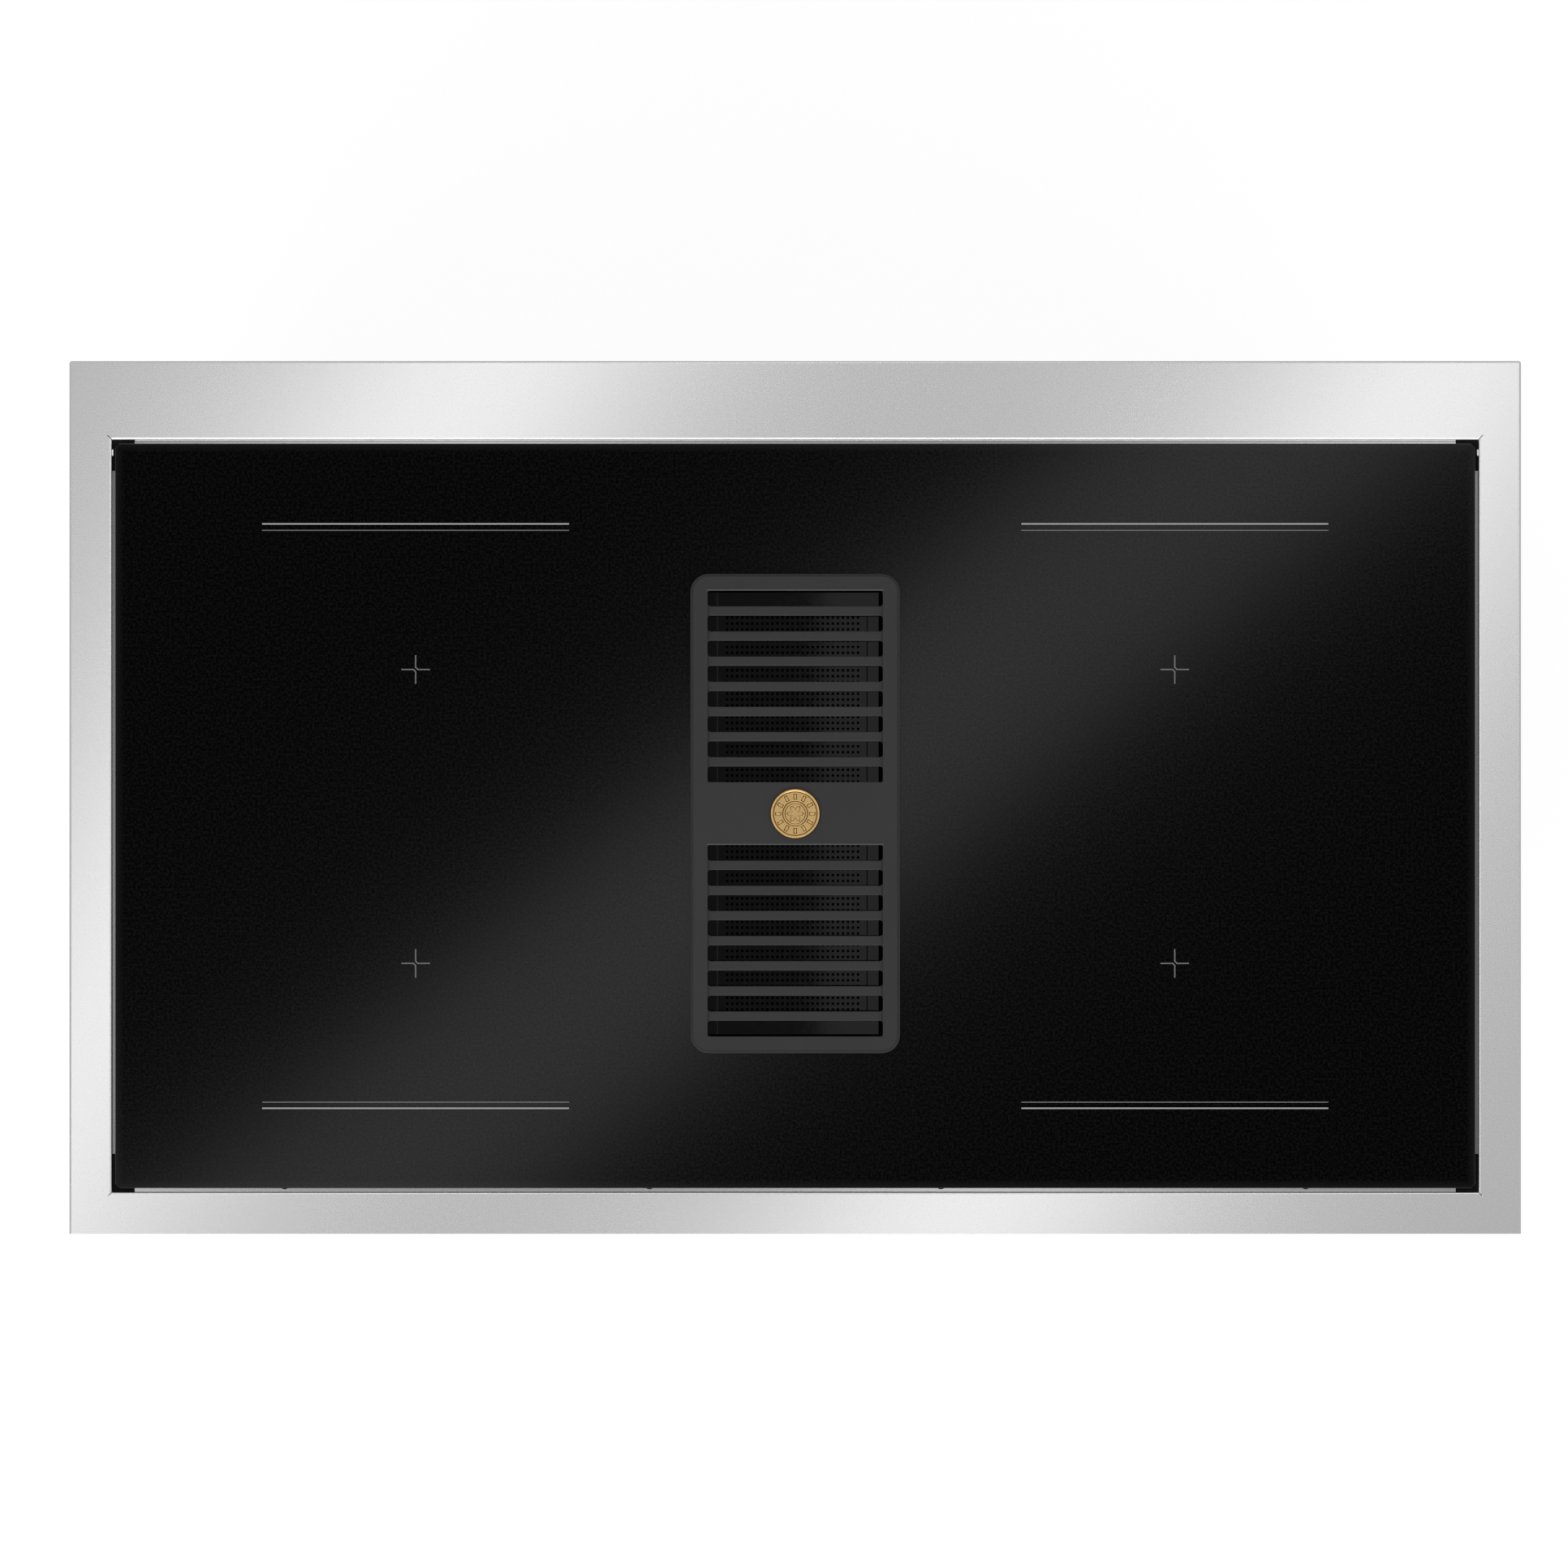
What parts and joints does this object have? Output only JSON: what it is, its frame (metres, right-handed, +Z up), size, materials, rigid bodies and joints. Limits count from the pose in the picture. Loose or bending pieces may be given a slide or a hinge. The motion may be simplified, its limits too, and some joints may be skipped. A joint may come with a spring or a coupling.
{
  "type": "induction range cooker",
  "caption": "Floor-standing induction range cooker: black glass hob in a steel worktop with a central downdraft intake grille, knobs on the fascia, side-by-side ovens with drop-down doors.",
  "frame": {"origin": "on the floor, under the centre of the worktop's outline", "axes": "+Z up, -Y towards the front where the knobs and doors are, +X to the right of someone who stands in front"},
  "size_m": [0.998, 0.6, 0.9064],
  "materials": {
    "worktop_steel": "satin stainless",
    "ceramic_glass": "black polished ceramic glass",
    "spacer": "grey silicone",
    "tray_metal": "grey-green coated sheet",
    "copper": "wound copper litz",
    "carrier_plastic": "moulded black",
    "circuit_board": "green board",
    "fan_plastic": "moulded black",
    "grille_cast": "matte dark grey coating",
    "badge_brass": "polished brass",
    "filter_metal": "satin black",
    "duct_plastic": "moulded black",
    "cup_plastic": "moulded dark grey",
    "motor_steel": "plain zinc-coated",
    "charcoal": "black granules in a frame",
    "front_steel": "satin stainless",
    "cabinet_paint": "fine-textured anthracite",
    "zinc_sheet": "galvanised sheet",
    "foot_steel": "turned steel",
    "terminal_plastic": "moulded black",
    "knob_metal": "satin anodised",
    "switch_plastic": "moulded",
    "display_black": "gloss black window",
    "button_metal": "satin",
    "oven_enamel": "speckled black enamel",
    "door_pane": "dark tinted glass",
    "handle_steel": "polished stainless",
    "oven_fan_steel": "plain stainless",
    "rack_chrome": "chromed wire",
    "element_metal": "heat-darkened sheath",
    "gasket_rubber": "matt",
    "lamp_glass": "frosted glass"
  },
  "bodies": {
    "cabinet": {"worktop_frame": "worktop_steel", "hob_glass": "ceramic_glass", "glass_spacers": "spacer", "hob_tray": "tray_metal", "induction_coils": "copper", "coil_carriers": "carrier_plastic", "power_boards": "circuit_board", "intake_well": "duct_plastic", "rear_duct": "duct_plastic", "blower_housing": "duct_plastic", "blower_motor": "motor_steel", "charcoal_filter": "charcoal", "vent_panel": "front_steel", "base_frame": "zinc_sheet", "side_panel_left": "cabinet_paint", "side_panel_right": "cabinet_paint", "back_panel": "zinc_sheet", "cabinet_screws": "motor_steel", "terminal_cover": "terminal_plastic", "fascia_panel": "front_steel", "control_switches": "switch_plastic", "clock_display": "display_black", "main_oven_cavity": "oven_enamel", "side_oven_cavity": "oven_enamel", "door_gaskets": "gasket_rubber", "oven_ladders": "rack_chrome", "oven_elements": "element_metal", "fan_covers": "oven_enamel", "fan_motors": "motor_steel", "oven_lamps": "lamp_glass"},
    "main_door": {"main_oven_door": "front_steel", "main_door_glass": "door_pane", "main_door_handle": "handle_steel"},
    "side_door": {"side_oven_door": "front_steel", "side_door_glass": "door_pane", "side_door_handle": "handle_steel"},
    "main_shelf": {"main_oven_shelf": "rack_chrome"},
    "side_shelf": {"side_oven_shelf": "rack_chrome"},
    "grille": {"intake_grille": "grille_cast", "grille_badge": "badge_brass"},
    "filter": {"grease_filter": "filter_metal"},
    "cup": {"spill_cup": "cup_plastic"},
    "clock_button": {"clock_button": "button_metal"},
    "blower_rotor": {"blower_impeller": "fan_plastic"},
    "main_fan_rotor": {"main_oven_fan": "oven_fan_steel"},
    "side_fan_rotor": {"side_oven_fan": "oven_fan_steel"},
    "left_board_fan": {"cooling_fan_left": "fan_plastic"},
    "right_board_fan": {"cooling_fan_right": "fan_plastic"},
    "knob_zone_1": {"knob_zone_1": "knob_metal"},
    "knob_zone_2": {"knob_zone_2": "knob_metal"},
    "knob_zone_3": {"knob_zone_3": "knob_metal"},
    "knob_zone_4": {"knob_zone_4": "knob_metal"},
    "knob_extractor": {"knob_extractor": "knob_metal"},
    "knob_main_function": {"knob_main_function": "knob_metal"},
    "knob_main_heat": {"knob_main_heat": "knob_metal"},
    "knob_side_heat": {"knob_side_heat": "knob_metal"},
    "foot_front_left": {"foot_front_left": "foot_steel"},
    "foot_front_right": {"foot_front_right": "foot_steel"},
    "foot_rear_left": {"foot_rear_left": "foot_steel"},
    "foot_rear_right": {"foot_rear_right": "foot_steel"}
  },
  "joints": [
    {"name": "main_door_hinge", "type": "hinge", "parent": "cabinet", "child": "main_door", "pos_m": [-0.19437, -0.217, 0.208], "axis": [1, 0, 0], "range_deg": [0, 90], "stiffness_Nm_per_rad": 8, "springref_deg": -20.05},
    {"name": "side_door_hinge", "type": "hinge", "parent": "cabinet", "child": "side_door", "pos_m": [0.29938, -0.217, 0.208], "axis": [1, 0, 0], "range_deg": [0, 90], "stiffness_Nm_per_rad": 5, "springref_deg": -20.05},
    {"name": "main_shelf_slide", "type": "slide", "parent": "cabinet", "child": "main_shelf", "axis": [0, -1, 0], "range_m": [0, 0.22]},
    {"name": "side_shelf_slide", "type": "slide", "parent": "cabinet", "child": "side_shelf", "axis": [0, -1, 0], "range_m": [0, 0.22]},
    {"name": "knob_zone_1_turn", "type": "hinge", "parent": "cabinet", "child": "knob_zone_1", "pos_m": [-0.424, -0.2495, 0.804], "axis": [0, 1, 0], "range_deg": [0, 270]},
    {"name": "knob_zone_2_turn", "type": "hinge", "parent": "cabinet", "child": "knob_zone_2", "pos_m": [-0.336, -0.2495, 0.804], "axis": [0, 1, 0], "range_deg": [0, 270]},
    {"name": "knob_zone_3_turn", "type": "hinge", "parent": "cabinet", "child": "knob_zone_3", "pos_m": [-0.248, -0.2495, 0.804], "axis": [0, 1, 0], "range_deg": [0, 270]},
    {"name": "knob_zone_4_turn", "type": "hinge", "parent": "cabinet", "child": "knob_zone_4", "pos_m": [-0.16, -0.2495, 0.804], "axis": [0, 1, 0], "range_deg": [0, 270]},
    {"name": "knob_extractor_turn", "type": "hinge", "parent": "cabinet", "child": "knob_extractor", "pos_m": [0.16, -0.2495, 0.804], "axis": [0, 1, 0], "range_deg": [0, 240]},
    {"name": "knob_main_function_turn", "type": "hinge", "parent": "cabinet", "child": "knob_main_function", "pos_m": [0.248, -0.2495, 0.804], "axis": [0, 1, 0], "continuous": true},
    {"name": "knob_main_heat_turn", "type": "hinge", "parent": "cabinet", "child": "knob_main_heat", "pos_m": [0.336, -0.2495, 0.804], "axis": [0, 1, 0], "range_deg": [0, 270]},
    {"name": "knob_side_heat_turn", "type": "hinge", "parent": "cabinet", "child": "knob_side_heat", "pos_m": [0.424, -0.2495, 0.804], "axis": [0, 1, 0], "range_deg": [0, 270]},
    {"name": "clock_button_press", "type": "slide", "parent": "cabinet", "child": "clock_button", "axis": [0, 1, 0], "range_m": [0, 0.0015], "stiffness_N_per_m": 600},
    {"name": "grille_lift", "type": "slide", "parent": "cabinet", "child": "grille", "axis": [0, 0, 1], "range_m": [0, 0.3]},
    {"name": "filter_lift", "type": "slide", "parent": "cabinet", "child": "filter", "axis": [0, 0, 1], "range_m": [0, 0.25]},
    {"name": "cup_lift", "type": "slide", "parent": "cabinet", "child": "cup", "axis": [0, 0, 1], "range_m": [0, 0.19]},
    {"name": "blower_spin", "type": "hinge", "parent": "cabinet", "child": "blower_rotor", "pos_m": [0, 0.16, 0.14], "axis": [0, 0, 1], "continuous": true},
    {"name": "main_fan_spin", "type": "hinge", "parent": "cabinet", "child": "main_fan_rotor", "pos_m": [-0.19437, 0.17, 0.43], "axis": [0, 1, 0], "continuous": true},
    {"name": "side_fan_spin", "type": "hinge", "parent": "cabinet", "child": "side_fan_rotor", "pos_m": [0.29938, 0.17, 0.43], "axis": [0, 1, 0], "continuous": true},
    {"name": "left_board_fan_spin", "type": "hinge", "parent": "cabinet", "child": "left_board_fan", "pos_m": [-0.3009, 0.15, 0.82], "axis": [0, 0, 1], "continuous": true},
    {"name": "right_board_fan_spin", "type": "hinge", "parent": "cabinet", "child": "right_board_fan", "pos_m": [0.3009, 0.15, 0.82], "axis": [0, 0, 1], "continuous": true},
    {"name": "foot_front_left_screw", "type": "slide", "parent": "cabinet", "child": "foot_front_left", "axis": [0, 0, -1], "range_m": [0, 0.03]},
    {"name": "foot_front_right_screw", "type": "slide", "parent": "cabinet", "child": "foot_front_right", "axis": [0, 0, -1], "range_m": [0, 0.03]},
    {"name": "foot_rear_left_screw", "type": "slide", "parent": "cabinet", "child": "foot_rear_left", "axis": [0, 0, -1], "range_m": [0, 0.03]},
    {"name": "foot_rear_right_screw", "type": "slide", "parent": "cabinet", "child": "foot_rear_right", "axis": [0, 0, -1], "range_m": [0, 0.03]}
  ],
  "couplings": [
    {"joint": "main_shelf_slide", "follows": "main_door_hinge", "m_per_rad": 0.14004},
    {"joint": "side_shelf_slide", "follows": "side_door_hinge", "m_per_rad": 0.14004},
    {"joint": "filter_lift", "follows": "grille_lift", "ratio": 0.8},
    {"joint": "cup_lift", "follows": "grille_lift", "ratio": 0.6}
  ]
}
